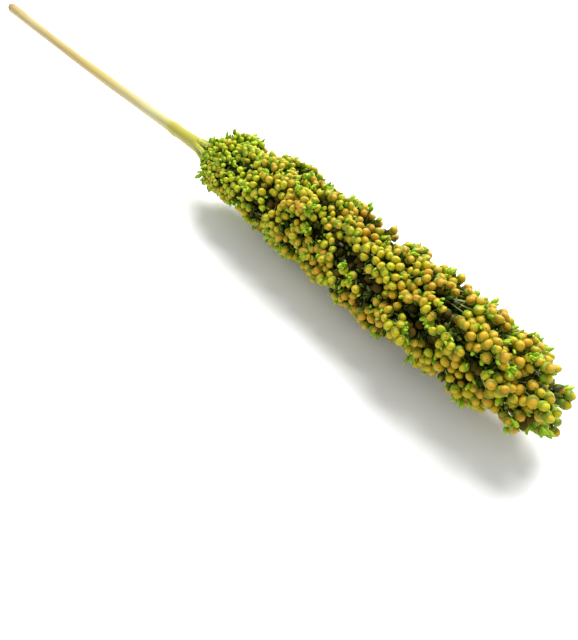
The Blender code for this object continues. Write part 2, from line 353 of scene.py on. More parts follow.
# %% Places along rays from the middle line
def side_rays(pitch, rng):
    """Rays across the middle line, in an even spiral, as (start, direction, least reach)."""
    t, end = RAY_SHARES
    turn = 0.0
    while t < end:
        azimuth = turn + rng.uniform(-TURN_JITTER, TURN_JITTER)
        least = envelope(t) - VALLEY_INSET if t < VALLEYS_END else 0.0
        yield axis_point(t), Vector((0, math.cos(azimuth), math.sin(azimuth))), least
        turn += GOLDEN_ANGLE
        spacing = pitch * growth(axis_point(t))
        t += spacing * spacing * TRIANGLE_ROWS / (math.tau * max(0.004, envelope(t))) / HEAD_LENGTH


def tip_rays(count, rng):
    """Rays that fan out forward from a point inside the tip."""
    start = axis_point(TIP_RAYS_START)
    for k in range(count):
        forward = 1 - 0.93 * (k + 0.5) / count
        across = math.sqrt(1 - forward * forward)
        turn = k * GOLDEN_ANGLE + rng.uniform(-TURN_JITTER, TURN_JITTER)
        yield start, Vector((forward, across * math.cos(turn), across * math.sin(turn))), 0.0


def tree_of(seeds):
    """Search tree over the centres of seeds."""
    found = kdtree.KDTree(len(seeds))
    for place, seed in enumerate(seeds):
        found.insert(seed.centre, place)
    found.balance()
    return found


def seeds_on_rays(earlier, rays, is_deep, rng):
    """Seeds where rays leave the head, or a step below, where none is near yet.

    A new seed is compared with all the earlier ones and the last 200 of its own kind, because rays
    that follow each other reach places that lie close."""
    near = tree_of(earlier)
    added = []
    for start, ray, least in rays:
        surface = max(surface_distance(start, ray), least)
        drop, is_gap, middle = bunch_at(start + ray * surface)
        if is_gap and not is_deep:
            continue
        sink = SEED_RADIUS + drop + (DEEP_STEP if is_deep else 0.0)
        reach = surface - sink * rng.uniform(0.94, 1.08)
        centre = start + ray * reach
        least_apart = BARE_DISTANCE * growth(centre)
        if reach < LEAST_REACH or len(earlier) and near.find(centre)[2] < least_apart:
            continue
        if any((centre - other.centre).length < least_apart for other in added[-200:]):
            continue
        _, place, _ = sample_tree.find(centre)
        spray, u = samples[place][2:]
        aside = (centre - middle) * FAN_PER_METRE
        out = ray + aside * min(1, 0.6 / max(aside.length, 0.01))
        added.append(new_seed(centre, out, spray, u, is_deep, rng))
    return added


place_rng = random.Random(LAYOUT_SEED + 1)
seeds = []
for pitch, tip_count, is_deep in ((RAY_PITCH, TIP_RAYS, False), (DEEP_PITCH, DEEP_TIP_RAYS, True)):
    seeds += seeds_on_rays(seeds, side_rays(pitch, place_rng), is_deep, place_rng)
    seeds += seeds_on_rays(seeds, tip_rays(tip_count, place_rng), is_deep, place_rng)
    print(len(seeds), "places, deeper ones too" if is_deep else "places")


# %% Places round the sprays that stand free
def places_on_spray(line, rng):
    """Places on one spray, as (centre, outward direction, share along the spray)."""
    length = sum((b[0] - a[0]).length for a, b in zip(line, line[1:]))
    u = 0.12
    turn = rng.uniform(0, math.tau)
    while u < 1.0:
        centre, radius, direction = along(line, u)
        inner = max(0.0012, radius - SEED_RADIUS)
        first, second = side_vectors(direction)
        out = first * math.cos(turn) + second * math.sin(turn)
        yield centre + out * inner, out, u
        u += SEED_STEP * SEED_STEP * TRIANGLE_ROWS / (math.tau * inner) / length
        turn += GOLDEN_ANGLE
    centre, radius, direction = along(line, 1.0)
    first, second = side_vectors(direction)
    for tilt, count in ((1.1, 7), (0.35, 4)):
        for k in range(count):
            angle = math.tau * k / count + tilt
            out = first * math.cos(angle) * math.sin(tilt) + second * math.sin(angle) * math.sin(tilt)
            out += direction * math.cos(tilt)
            yield centre + out * (radius - SEED_RADIUS), out, 1.0


for number, line in enumerate(sprays):
    if line[-1][0].x < NECK_X + FREE_FROM * HEAD_LENGTH and number not in STRAY_SPRAYS:
        continue
    near = tree_of(seeds)
    for centre, out, u in places_on_spray(line, place_rng):
        buried = sunk_in_neighbour(centre + out * SEED_RADIUS, number) > MOST_SUNK
        if not buried and near.find(centre)[2] > BARE_DISTANCE and not bunch_at(centre)[1]:
            seeds.append(new_seed(centre, out, number, u, False, place_rng))
        deeper = centre - out * DEEP_STEP
        if along(line, u)[1] > LEAST_DEEP_SPRAY and near.find(deeper)[2] > BARE_DISTANCE:
            seeds.append(new_seed(deeper, out, number, u, True, place_rng))
print(len(seeds), "places, with the free sprays")

# %% Push them apart
def push_apart(seeds):
    """Move seeds that overlap apart, mostly along the surface, and rest the belly's on the table."""
    near = tree_of(seeds)
    moves = [Vector() for _ in seeds]
    for place, seed in enumerate(seeds):
        for other_point, other, distance in near.find_range(seed.centre, 2.2 * SEED_RADIUS):
            if other == place or distance == 0:
                continue
            wanted = TOUCHING * (seed.size + seeds[other].size)
            if distance < wanted:
                moves[place] += (seed.centre - other_point) / distance * (wanted - distance) * 0.35
    for seed, move in zip(seeds, moves):
        outward = move.dot(seed.lean)
        seed.centre = seed.centre + move - seed.lean * (outward * 0.6)
        if seed.centre.z < BELLY_HEIGHT:
            seed.centre.z = seed.size * 0.96


def without_close_ones(seeds):
    """The seeds without those that lie within the least distance of an earlier one."""
    near = tree_of(seeds)
    kept = []
    dropped = set()
    for place, seed in enumerate(seeds):
        if place in dropped:
            continue
        kept.append(seed)
        for _, other, _ in near.find_range(seed.centre, LEAST_DISTANCE * growth(seed.centre)):
            if other > place:
                dropped.add(other)
    return kept


def has_company(seed, near):
    """Whether a seed rests on the table or has enough neighbours not to hang in the air."""
    neighbours = near.find_range(seed.centre, NEIGHBOUR_DISTANCE)
    return seed.centre.z < BELLY_HEIGHT or len(neighbours) > LEAST_NEIGHBOURS


seeds = without_close_ones(seeds)
for _ in range(PUSH_ROUNDS):
    push_apart(seeds)
seeds = without_close_ones(seeds)
near = tree_of(seeds)
seeds = [seed for seed in seeds if has_company(seed, near)]
seeds = [seed for seed in seeds if seed.centre.x > NECK_X + FIRST_SEED_AT * HEAD_LENGTH]
print(len(seeds), "seeds kept,", sum(seed.is_deep for seed in seeds), "of them deeper")

# %% [markdown]
# ## Copies of one small form
#
# Some thousands of grains can't each be modelled. One is made and one helper copies its points to
# every place, into a single mesh. The copies differ in size, turn and colour. The colour comes from
# numbers that the helper stores on their points: a random tone, the ripeness, and a depth of 1 for
# what lies in the shade. A fourth, the rise, tells how far up the form a point lies.

# %% Helper that joins copies
def copies(name, template, items):
    """One mesh object with a copy of the template for each (matrix, tone, ripeness, depth)."""
    points = np.array([vertex.co for vertex in template.data.vertices])
    low, high = points[:, 2].min(), points[:, 2].max()
    rise = (points[:, 2] - low) / (high - low)
    count = len(points)
    matrices, tones, ripeness, depths = zip(*items)
    moved = [points @ np.array(matrix)[:3, :3].T + np.array(matrix)[:3, 3] for matrix in matrices]
    faces = [
        tuple(index + k * count for index in polygon.vertices)
        for k in range(len(items))
        for polygon in template.data.polygons
    ]
    joined = bpy.data.meshes.new(name)
    joined.from_pydata(np.concatenate(moved).tolist(), [], faces)
    for label, values in (
        ("tone", np.repeat(tones, count)),
        ("ripeness", np.repeat(ripeness, count)),
        ("depth", np.repeat(depths, count)),
        ("rise", np.tile(rise, len(items))),
    ):
        stored = joined.attributes.new(label, "FLOAT", "POINT")
        stored.data.foreach_set("value", np.asarray(values, dtype=np.float32))
    joined.shade_smooth()
    made = bpy.data.objects.new(name, joined)
    bpy.context.scene.collection.objects.link(made)
    print(name, len(items), "copies,", sum(len(face) - 2 for face in faces), "triangles")
    return made


def turned_to(direction, place, scale, roll=0.0):
    """Matrix that turns +Z to a direction, at a place and scale."""
    turn = direction.to_track_quat("Z", "Y").to_matrix().to_4x4()
    spin = Matrix.Rotation(roll, 4, "Z")
    return Matrix.Translation(place) @ turn @ spin @ Matrix.Diagonal((*scale, 1))


def begin_ball(name, segments, ring_count):
    """A ball of few faces and radius 1, in edit mode."""
    bpy.ops.object.select_all(action="DESELECT")
    bpy.ops.mesh.primitive_uv_sphere_add(segments=segments, ring_count=ring_count, radius=1.0)
    bpy.context.object.name = name
    bpy.ops.object.mode_set(mode="EDIT")
    bpy.ops.mesh.select_mode(type="VERT")
    return bpy.context.object


def reshape(form, test, scale=None, move=None):
    """Scale and then move the points of a form that pass a test of their place, in edit mode."""
    bpy.ops.object.mode_set(mode="OBJECT")
    for part in (*form.data.polygons, *form.data.edges):
        part.select = False
    for vertex in form.data.vertices:
        vertex.select = bool(test(vertex.co))
    bpy.ops.object.mode_set(mode="EDIT")
    if scale:
        bpy.ops.transform.resize(value=scale)
    if move:
        bpy.ops.transform.translate(value=move)


# %% [markdown]
# ## One seed
#
# A sorghum grain is round but not a ball: it is broadest below its middle, a little flat on two
# sides, and has a blunt top where the dried styles leave a dark speck. A ball of few faces, pinched
# at the top and widened at the foot, is enough, because a seed shows only a dozen pixels wide.

# %% Model the seed
seed_form = begin_ball("seed_form", 10, 6)
reshape(seed_form, lambda co: co.z > 0.7, scale=(0.88, 0.88, 1.0))
reshape(seed_form, lambda co: co.z < -0.7, scale=(1.10, 1.10, 1.0))
reshape(seed_form, lambda co: True, scale=(1.04, 0.84, 1.04))
bpy.ops.object.mode_set(mode="OBJECT")
print("seed form:", len(seed_form.data.polygons), "faces")

# %% [markdown]
# Seeds ripen from the tip down, in patches. The copies make three pieces: those of the surface near
# the neck, those near the tip, and the deeper ones. Half of the deeper places get a leafy tuft
# instead of a seed.

# %% Ripeness, and the copies
ripe_rng = random.Random(LAYOUT_SEED + 3)
DEEP_SEED_SHARE = 0.5
RIPE_PATCHES_PER_METRE = 55
SEED_PIECES = (
    ("seeds_near_neck", -1.0, 0.45, False),
    ("seeds_near_tip", 0.45, 2.0, False),
    ("seeds_deep_inside", -1.0, 2.0, True),
)


def ripeness_of(point):
    """0 for a green seed to 1 for a ripe one: patches of the head ripen together, the tip first."""
    patch = 0.45 * noise.noise(point * RIPE_PATCHES_PER_METRE)
    ripe = 0.06 + 0.60 * smooth(share_of(point) / 0.5) + patch + ripe_rng.uniform(-0.28, 0.28)
    return min(1.0, max(0.0, ripe))


for seed in seeds:
    seed.ripeness = ripeness_of(seed.centre)
    seed.tone = ripe_rng.random()
    seed.roll = ripe_rng.uniform(0, math.tau)
    seed.is_leafy = seed.is_deep and seed.tone > DEEP_SEED_SHARE
seed_pieces = []
for name, start, end, is_deep in SEED_PIECES:
    items = []
    for seed in seeds:
        if start <= share_of(seed.centre) < end and seed.is_deep == is_deep and not seed.is_leafy:
            width = seed.size * ripe_rng.uniform(0.90, 1.12)
            length = seed.size * ripe_rng.uniform(0.92, 1.16)
            matrix = turned_to(seed.lean, seed.centre, (seed.size, width, length), seed.roll)
            items.append((matrix, seed.tone, seed.ripeness, float(is_deep)))
    seed_pieces.append(copies(name, seed_form, items))


# %% [markdown]
# ## The husks that hold a seed
#
# Two green scales, the glumes, clasp the foot of each seed from both sides and end in points. They
# are the green between the seeds. A ball a little larger than the seed becomes the pair: its middle
# ring is drawn up to two points and down between them, and all above that ring is pulled inside the
# seed, so the form stays closed. A young seed is still hidden in its husks, so some of the pairs,
# more of them near the neck, are pushed up over the seed.

# %% Model the pair of husks
husk_form = begin_ball("husk_form", 8, 4)
reshape(husk_form, lambda co: co.z > 0.9, move=(0, 0, -0.85))
reshape(husk_form, lambda co: co.z > 0.6, scale=(0.75, 0.75, 1.0), move=(0, 0, -0.50))
reshape(
    husk_form,
    lambda co: abs(co.z) < 0.05 and abs(co.x) > 0.9,
    scale=(0.93, 1.0, 1.0),
    move=(0, 0, 0.52),
)
reshape(husk_form, lambda co: abs(co.z) < 0.05 and abs(co.y) > 0.9, move=(0, 0, -0.34))
reshape(husk_form, lambda co: co.z < -0.6, scale=(1.05, 1.05, 1.1))
reshape(husk_form, lambda co: True, scale=(1.07, 0.98, 1.05))
bpy.ops.object.mode_set(mode="OBJECT")
print("husk form:", len(husk_form.data.polygons), "faces")

# %% Husks on every seed
husk_rng = random.Random(LAYOUT_SEED + 4)
YOUNG_SHARE = 0.12
YOUNG_MORE_AT_NECK = 0.35
items = []
for seed in seeds:
    if seed.is_leafy:
        continue
    grip = seed.size * husk_rng.uniform(1.0, 1.12)
    young = YOUNG_SHARE + YOUNG_MORE_AT_NECK * (1 - smooth(share_of(seed.centre) / 0.25))
    slip = husk_rng.uniform(0.04, 0.30) if seed.tone > young else husk_rng.uniform(-0.42, -0.2)
    foot = seed.centre - seed.lean * seed.size * slip
    matrix = turned_to(seed.lean, foot, (grip, grip, seed.size * 1.1), seed.roll)
    items.append((matrix, seed.tone, seed.ripeness, float(seed.is_deep)))
husks = copies("seed_husks", husk_form, items)

# %% [markdown]
# ## The empty spikelets
#
# Beside a seed stands its partner, an empty spikelet: a narrow pointed leaf of fresh green. They
# stick out in small tufts, most of all at the ends of the sprays, and give the head its prickly
# look. One is a slim closed blade, and the tufts are copies of it that fan out from a point. Those
# that fill the gaps between the bunches make a piece of their own and are painted darker, as shade.

# %% Model the empty spikelet
SPIKELET_LENGTH = 0.0042
SPIKELET_WIDTH = 0.00098
spikelet_form = begin_ball("spikelet_form", 5, 5)
reshape(spikelet_form, lambda co: 0.7 < co.z < 0.95, scale=(0.8, 0.8, 1.0))
reshape(spikelet_form, lambda co: True, scale=(1.0, 0.62, 0.5), move=(0, 0, 0.5))
reshape(spikelet_form, lambda co: co.z > 0.8, move=(0, 0.25, 0.05))
bpy.ops.object.mode_set(mode="OBJECT")
print("spikelet form:", len(spikelet_form.data.polygons), "faces")

# %% Single spikelets beside seeds, and tufts
tuft_rng = random.Random(LAYOUT_SEED + 5)
TUFT_SHARE = 0.075
TUFT_SHARE_AT_ENDS = 0.19
TUFT_BLADES = (6, 10)
DEEP_TUFT_BLADES = 5
SINGLE_SHARE = 0.45
BOX_SLACK = 0.0006
TABLE_CLEARANCE = 0.001
fresh_blades = []
deep_blades = []


def add_spikelet(root, direction, length, is_deep=False):
    """Add one blade, unless its point would leave the box of the solids."""
    width = SPIKELET_WIDTH * tuft_rng.uniform(0.8, 1.15)
    end = root + direction * length
    if any(e < low - BOX_SLACK or e > high + BOX_SLACK for e, low, high in zip(end, *CAD_BOX)):
        return
    matrix = turned_to(direction, root, (width, width, length), tuft_rng.uniform(0, math.tau))
    blades = deep_blades if is_deep else fresh_blades
    blades.append((matrix, tuft_rng.random(), 0.0, float(is_deep)))


def add_deep_tuft(seed):
    """Blades that fan out from the foot of a place inside the head."""
    for _ in range(DEEP_TUFT_BLADES):
        spread = random_vector(tuft_rng)
        direction = (seed.lean + spread * 0.8).normalized()
        root = seed.centre - seed.lean * seed.size + spread * 0.0010
        add_spikelet(root, direction, SPIKELET_LENGTH * 0.9, True)


def add_tuft(seed, aside):
    """Blades that fan out beside a seed of the surface."""
    root = seed.centre + aside * seed.size * 0.8
    for _ in range(tuft_rng.randint(*TUFT_BLADES)):
        spread = random_vector(tuft_rng)
        direction = (seed.lean + aside * 0.2 + spread * 0.55).normalized()
        if direction.z * SPIKELET_LENGTH + root.z > TABLE_CLEARANCE:
            start = root + spread * 0.0009 - direction * 0.0010
            add_spikelet(start, direction, SPIKELET_LENGTH * tuft_rng.uniform(0.7, 1.05))


def add_single(seed, aside):
    """One blade beside a seed, from its foot."""
    direction = (seed.lean + aside * 0.45).normalized()
    root = seed.centre + aside * seed.size * 0.95 - seed.lean * seed.size * 0.9
    if min(root.z, direction.z * SPIKELET_LENGTH + root.z) > TABLE_CLEARANCE:
        add_spikelet(root, direction, SPIKELET_LENGTH * tuft_rng.uniform(0.6, 0.85))


def random_side(direction, rng):
    """A unit vector across a direction, at a random angle round it."""
    first, second = side_vectors(direction)
    angle = rng.uniform(0, math.tau)
    return first * math.cos(angle) + second * math.sin(angle)


for seed in seeds:
    if seed.is_leafy:
        add_deep_tuft(seed)
    if seed.is_deep:
        continue
    aside = random_side(seed.lean, tuft_rng)
    share = share_of(seed.centre)
    near_tip = smooth((share - 0.8) / 0.2) * smooth((seed.u - 0.5) / 0.4)
    at_end = near_tip + 0.8 * (1 - smooth(share / 0.2))
    if tuft_rng.random() < TUFT_SHARE + (TUFT_SHARE_AT_ENDS - TUFT_SHARE) * at_end:
        add_tuft(seed, aside)
    elif tuft_rng.random() < SINGLE_SHARE:
        add_single(seed, aside)
print(len(fresh_blades), "spikelets on the surface,", len(deep_blades), "in the gaps")

# %% Bare stems that lie over the seeds, with spikelets at their ends
STEM_SHARE = 0.03
STEM_RADIUS = 0.00032
STEM_STEPS = 4
STEM_BLADES = 3
LEAST_STEM_LEAN = 0.2
STEMS_END = 0.92


def bare_stem(seed):
    """A thin stem that comes up beside a seed, bends over it and ends in a few blades."""
    direction = along(sprays[seed.spray], seed.u)[2]
    course = (direction * 1.2 + random_side(seed.lean, tuft_rng) * 0.9).normalized()
    length = tuft_rng.uniform(0.007, 0.012)
    start = seed.centre - course * length * 0.5 - seed.lean * seed.size * 1.4
    line = []
    for k in range(STEM_STEPS + 1):
        s = k / STEM_STEPS
        lift = seed.lean * seed.size * (2.2 * math.sin(math.pi * min(1.0, s * 1.25)) - 0.6 * s)
        line.append((start + course * length * s + lift, STEM_RADIUS * (1.15 - 0.45 * s)))
    end = line[-1][0]
    for _ in range(STEM_BLADES):
        way = (course + seed.lean * 0.3 + random_vector(tuft_rng) * 0.6).normalized()
        add_spikelet(end - way * 0.0008, way, SPIKELET_LENGTH * tuft_rng.uniform(0.6, 0.9))
    return line


stem_lines = []
for seed in seeds:
    if seed.is_deep or tuft_rng.random() > STEM_SHARE:
        continue
    if seed.lean.z >= LEAST_STEM_LEAN and share_of(seed.centre) <= STEMS_END:
        stem_lines.append(bare_stem(seed))
print(len(stem_lines), "bare stems")
spikelet_pieces = [
    copies("empty_spikelets", spikelet_form, fresh_blades),
    copies("deep_spikelets", spikelet_form, deep_blades),
]

# %% [markdown]
# ## Branches and twigs
#
# The branches show only in the gaps and at the neck. A branch is a curve with a round bevel, turned
# into a mesh, one for each spray. Nine thicker ones spread from the end of the stem into the head.
# The twigs are thin tapered sticks, copied from the middle of the spray to the foot of each seed.

# %% Helper for bevelled curves
def tube(name, lines, sides):
    """Closed tubes of changing radius, one along each list of (point, radius) pairs, as one mesh."""
    curve = bpy.data.curves.new(name, "CURVE")
    curve.dimensions = "3D"
    curve.bevel_depth = 1.0
    curve.bevel_resolution = sides
    curve.use_fill_caps = True
    for line in lines:
        spline = curve.splines.new("POLY")
        spline.points.add(len(line) - 1)
        for spot, (point, radius) in zip(spline.points, line):
            spot.co = (*point, 1)
            spot.radius = radius
    made = bpy.data.objects.new(name, curve)
    bpy.context.scene.collection.objects.link(made)
    bpy.ops.object.select_all(action="DESELECT")
    made.select_set(True)
    bpy.context.view_layer.objects.active = made
    bpy.ops.object.convert(target="MESH")
    made = bpy.context.object
    bpy.ops.object.mode_set(mode="EDIT")
    bpy.ops.mesh.select_all(action="SELECT")
    bpy.ops.mesh.remove_doubles(threshold=0.00001)
    bpy.ops.mesh.normals_make_consistent(inside=False)
    bpy.ops.object.mode_set(mode="OBJECT")
    made.data.shade_smooth()
    print(name, len(made.data.polygons), "faces")
    return made


# %% Branches of the sprays, and those that run into the stem
BRANCH_STEPS = 6
BRANCH_RADII = (0.0011, 0.0005)
BASE_COUNT = 9
BASE_STEPS = 8
BASE_START = -0.035
BASE_REACH = 0.10
BASE_RADIUS = 0.0015
BASE_OUT = 0.0030
BASE_SPREAD = 0.0060
BASE_TWIST = 0.25


def base_line(azimuth):
    """Line of a branch that leaves the stem below the head and turns outward inside it."""
    line = []
    for step in range(BASE_STEPS + 1):
        s = step / BASE_STEPS
        out = BASE_OUT + BASE_SPREAD * s * s
        point = head_point(BASE_START + BASE_REACH * s, out, azimuth + BASE_TWIST * s)
        line.append((point, BASE_RADIUS * smooth((s + 0.15) / 0.35)))
    return line


branch_lines = []
for line in sprays:
    branch_lines.append([])
    for k in range(BRANCH_STEPS + 1):
        radius = BRANCH_RADII[0] + (BRANCH_RADII[1] - BRANCH_RADII[0]) * k / BRANCH_STEPS
        branch_lines[-1].append((along(line, k / BRANCH_STEPS)[0], radius))
for k in range(BASE_COUNT):
    branch_lines.append(base_line(k * math.tau / BASE_COUNT + 0.3))
branches = tube("spray_branches", branch_lines, 2)
bare_stems = tube("bare_stems", stem_lines, 0)

# %% Twigs
bpy.ops.object.select_all(action="DESELECT")
bpy.ops.mesh.primitive_cone_add(vertices=4, radius1=1.0, radius2=0.7, depth=1.0)
twig_form = bpy.context.object
twig_form.name = "twig_form"
reshape(twig_form, lambda co: True, move=(0, 0, 0.5))
bpy.ops.object.mode_set(mode="OBJECT")
twig_rng = random.Random(LAYOUT_SEED + 6)
TWIG_RADIUS = 0.00032
TWIG_RUN = 0.22
LEAST_TWIG = 0.001
items = []
for seed in seeds:
    if seed.is_deep:
        continue
    root = along(sprays[seed.spray], max(0.0, seed.u - TWIG_RUN))[0]
    way = seed.centre - seed.lean * seed.size * 0.9 - root
    if way.length > LEAST_TWIG:
        matrix = turned_to(way.normalized(), root, (TWIG_RADIUS, TWIG_RADIUS, way.length), 0.3)
        items.append((matrix, twig_rng.random(), 0.0, 0.0))
twigs = copies("twigs", twig_form, items)

# %% [markdown]
# ## The dark inside
#
# Behind the seeds the branches and husks are packed so close that no light passes. A rough body
# inside each spray and a spindle round the rachis stand for them, well below the seeds, painted
# near black as shade.

# %% Inner mass
INNER_DEPTH = 0.0056
INNER_STEPS = 6
INNER_END = 0.9375
LEAST_INNER_RADIUS = 0.0006
CORE_INSET = 0.0128
CORE_START = 0.03
CORE_RUN = 0.91
CORE_STEPS = 16
LEAST_CORE_RADIUS = 0.0030
inner_lines = []
for line in sprays:
    inner_line = []
    for k in range(INNER_STEPS + 1):
        centre, radius, _ = along(line, INNER_END * k / INNER_STEPS)
        inner_line.append((centre, max(LEAST_INNER_RADIUS, radius - INNER_DEPTH)))
    inner_lines.append(inner_line)
core_line = []
for k in range(CORE_STEPS + 1):
    t = CORE_START + CORE_RUN * k / CORE_STEPS
    rounding = math.sqrt(max(0.1, 1 - ((t - CORE_START) / 0.92) ** 8))
    core_line.append((axis_point(t), max(LEAST_CORE_RADIUS, (envelope(t) - CORE_INSET) * rounding)))
inner_mass = tube("inner_branches", inner_lines + [core_line], 3)

# %% [markdown]
# ## The stem
#
# The stem is a smooth straw tube of 7 mm, with fine ridges along it, a faint knot just below the
# head and a square cut at the far end, where the pith sits a little below the rim. It starts as one
# ring of points that is extruded a step at a time along the stem's line.

# %% Values of the stem
STALK_LENGTH = 0.335
CUT_RADIUS = 0.0042
STALK_RADIUS = 0.0034
NECK_RADIUS = 0.0041
CUT_END_HEIGHT = 0.0248
CUT_END_SIDE = -0.0150
STALK_SAG = 0.002
KNOT_SHARE = 0.905
KNOT_SWELL = 0.0006
KNOT_REACH = 0.010
STALK_STEPS = 96
RACHIS_START = 0.012
RACHIS_RUN = 0.075
RACHIS_STEPS = 4
RACHIS_RADIUS = 0.0026
RACHIS_TAPER = 0.0002
RIDGES = 14
RIDGE_HEIGHT = 0.00006
WAVE_HEIGHT = 0.00022
RIM_WIDTH = 0.0006
RIM_HEIGHT = 0.0005
PITH_INSET = 0.0011
PITH_RISE = 0.0003
STEM_SIDES = 28


def stalk_point(u):
    """Point and radius on the stem at share u from its cut end to the neck."""
    neck = axis_point(0.0)
    x = NECK_X - STALK_LENGTH * (1 - u)
    height = CUT_END_HEIGHT + (neck.z - CUT_END_HEIGHT) * u - STALK_SAG * math.sin(math.pi * u)
    side = CUT_END_SIDE + (neck.y - CUT_END_SIDE) * u
    thickness = CUT_RADIUS + (STALK_RADIUS - CUT_RADIUS) * smooth(u / 0.35)
    thickness += (NECK_RADIUS - STALK_RADIUS) * smooth((u - 0.9) / 0.1)
    thickness += KNOT_SWELL * math.exp(-(((u - KNOT_SHARE) / KNOT_REACH) ** 2))
    return Vector((x, side, height)), thickness


# %% Extrude the stem
bpy.ops.object.select_all(action="DESELECT")
start, start_radius = stalk_point(0.0)
bpy.ops.mesh.primitive_circle_add(
    vertices=STEM_SIDES,
    radius=start_radius,
    fill_type="NGON",
    location=start,
    rotation=(0, math.pi / 2, 0),
)
stem = bpy.context.object
stem.name = "stem"
bpy.ops.object.transform_apply(location=True, rotation=True, scale=True)
bpy.ops.object.mode_set(mode="EDIT")
bpy.ops.mesh.select_mode(type="FACE")
bpy.ops.mesh.select_all(action="SELECT")
stations = [stalk_point(k / STALK_STEPS) for k in range(1, STALK_STEPS + 1)]
for k in range(RACHIS_STEPS + 1):
    t = RACHIS_START + RACHIS_RUN / HEAD_LENGTH * k / RACHIS_STEPS
    stations.append((axis_point(t), RACHIS_RADIUS - RACHIS_TAPER * k))
previous, previous_radius = start, start_radius
for centre, radius in stations:
    change = radius / previous_radius
    bpy.ops.mesh.extrude_region_move(TRANSFORM_OT_translate={"value": centre - previous})
    bpy.ops.transform.resize(value=(1, change, change), center_override=centre)
    previous, previous_radius = centre, radius
bpy.ops.mesh.select_all(action="SELECT")
bpy.ops.mesh.normals_make_consistent(inside=False)
bpy.ops.object.mode_set(mode="OBJECT")
print("stem:", len(stem.data.vertices), "points")

# %% Ridges and the cut end
for vertex in stem.data.vertices:
    u = (vertex.co.x - start.x) / STALK_LENGTH
    if u > 0.995:
        continue
    centre, radius = stalk_point(u)
    offset = vertex.co - Vector((vertex.co.x, centre.y, centre.z))
    angle = math.atan2(offset.z, offset.y)
    wave = noise.noise(Vector((u * 9, angle * 0.8, 0)))
    ridge = RIDGE_HEIGHT * math.sin(angle * RIDGES) + WAVE_HEIGHT * wave
    vertex.co += offset.normalized() * ridge
bpy.context.view_layer.objects.active = stem
bpy.ops.object.mode_set(mode="EDIT")
bpy.ops.mesh.select_all(action="DESELECT")
bpy.ops.object.mode_set(mode="OBJECT")
for polygon in stem.data.polygons:
    polygon.select = len(polygon.vertices) > 4 and polygon.center.x < start.x + 0.001
bpy.ops.object.mode_set(mode="EDIT")
bpy.ops.mesh.inset(thickness=RIM_WIDTH)
bpy.ops.transform.translate(value=(RIM_HEIGHT, 0, 0))
bpy.ops.mesh.inset(thickness=PITH_INSET)
bpy.ops.transform.translate(value=(-PITH_RISE, 0, 0))
bpy.ops.object.mode_set(mode="OBJECT")
stem.data.shade_smooth()
bpy.ops.object.select_all(action="DESELECT")
stem.select_set(True)
bpy.ops.object.shade_smooth_by_angle(angle=math.radians(50))
print("stem with its cut end:", len(stem.data.polygons), "faces")

# %% [markdown]
# ## Colours and materials
#
# Each material is named for the real surface, or for the painted shade it carries. Colours are
# written as sRGB hex values, which one function turns into the linear numbers that the shader wants.

# %% Helpers for materials
def colour(hex_value):
    """Linear RGBA from an sRGB hex string."""
    parts = [int(hex_value[k : k + 2], 16) / 255 for k in (1, 3, 5)]
    linear = [c / 12.92 if c <= 0.04045 else ((c + 0.055) / 1.055) ** 2.4 for c in parts]
    return (*linear, 1.0)


def add_node(tree, kind, settings=None, links=None):
    """Add a node, set its properties and input values, and link inputs to other outputs."""
    node = tree.nodes.new(kind)
    for name, value in (settings or {}).items():
        if isinstance(name, int) or name in node.inputs:
            node.inputs[name].default_value = value
        else:
            setattr(node, name, value)
    for name, output in (links or {}).items():
        tree.links.new(output, node.inputs[name])
    return node


def new_material(name, **sockets):
    """A material, its node tree and its shader, with sockets set by name."""
    made = bpy.data.materials.new(name)
    made.use_nodes = True
    shader = made.node_tree.nodes["Principled BSDF"]
    for socket, value in sockets.items():
        shader.inputs[socket.replace("_", " ")].default_value = value
    return made, made.node_tree, shader


def ramp(tree, factor, stops):
    """A colour ramp over a factor, from (place, hex colour) stops."""
    node = add_node(tree, "ShaderNodeValToRGB", links={"Fac": factor})
    while len(node.color_ramp.elements) < len(stops):
        node.color_ramp.elements.new(0.5)
    for element, (place, hex_value) in zip(node.color_ramp.elements, stops):
        element.position = place
        element.color = colour(hex_value)
    return node.outputs["Color"]


def attribute(tree, name):
    """A number that the copies store on their points."""
    return add_node(tree, "ShaderNodeAttribute", {"attribute_name": name}).outputs["Fac"]


def object_noise(tree, scale, detail=3.0):
    """Noise over the object's own coordinates, with a scale per metre."""
    place = add_node(tree, "ShaderNodeTexCoord").outputs["Object"]
    values = {"Scale": scale, "Detail": detail}
    return add_node(tree, "ShaderNodeTexNoise", values, {"Vector": place}).outputs["Fac"]


def mixed(tree, factor, first, second):
    """Mix two colours; each may be an output or a hex colour."""
    node = add_node(tree, "ShaderNodeMix", {"data_type": "RGBA"})
    for slot, value in ((0, factor), (6, first), (7, second)):
        if isinstance(value, str):
            node.inputs[slot].default_value = colour(value)
        elif isinstance(value, (int, float)):
            node.inputs[slot].default_value = value
        else:
            tree.links.new(value, node.inputs[slot])
    return node.outputs[2]


def mask(tree, factor, black_at, white_at):
    """A factor stretched so that it is 0 at one of its values and 1 at another."""
    stops = sorted([(black_at, "#000000"), (white_at, "#FFFFFF")])
    return ramp(tree, factor, stops)


def tinted(tree, base, where, strength, hex_value):
    """A base colour with another laid over it where a mask is white, at a given strength."""
    return mixed(tree, mixed(tree, strength, "#000000", where), base, hex_value)


def share_along_x(tree, start_x, end_x):
    """0 to 1 between two places along the object's X."""
    place = add_node(tree, "ShaderNodeTexCoord").outputs["Object"]
    split = add_node(tree, "ShaderNodeSeparateXYZ", links={"Vector": place})
    ends = {"From Min": start_x, "From Max": end_x}
    return add_node(tree, "ShaderNodeMapRange", ends, {"Value": split.outputs["X"]}).outputs["Result"]


def coat(material, base, *pieces):
    """Link the base colour of a material and give it to pieces."""
    shader = material.node_tree.nodes["Principled BSDF"]
    material.node_tree.links.new(base, shader.inputs["Base Color"])
    for piece in pieces:
        piece.data.materials.append(material)


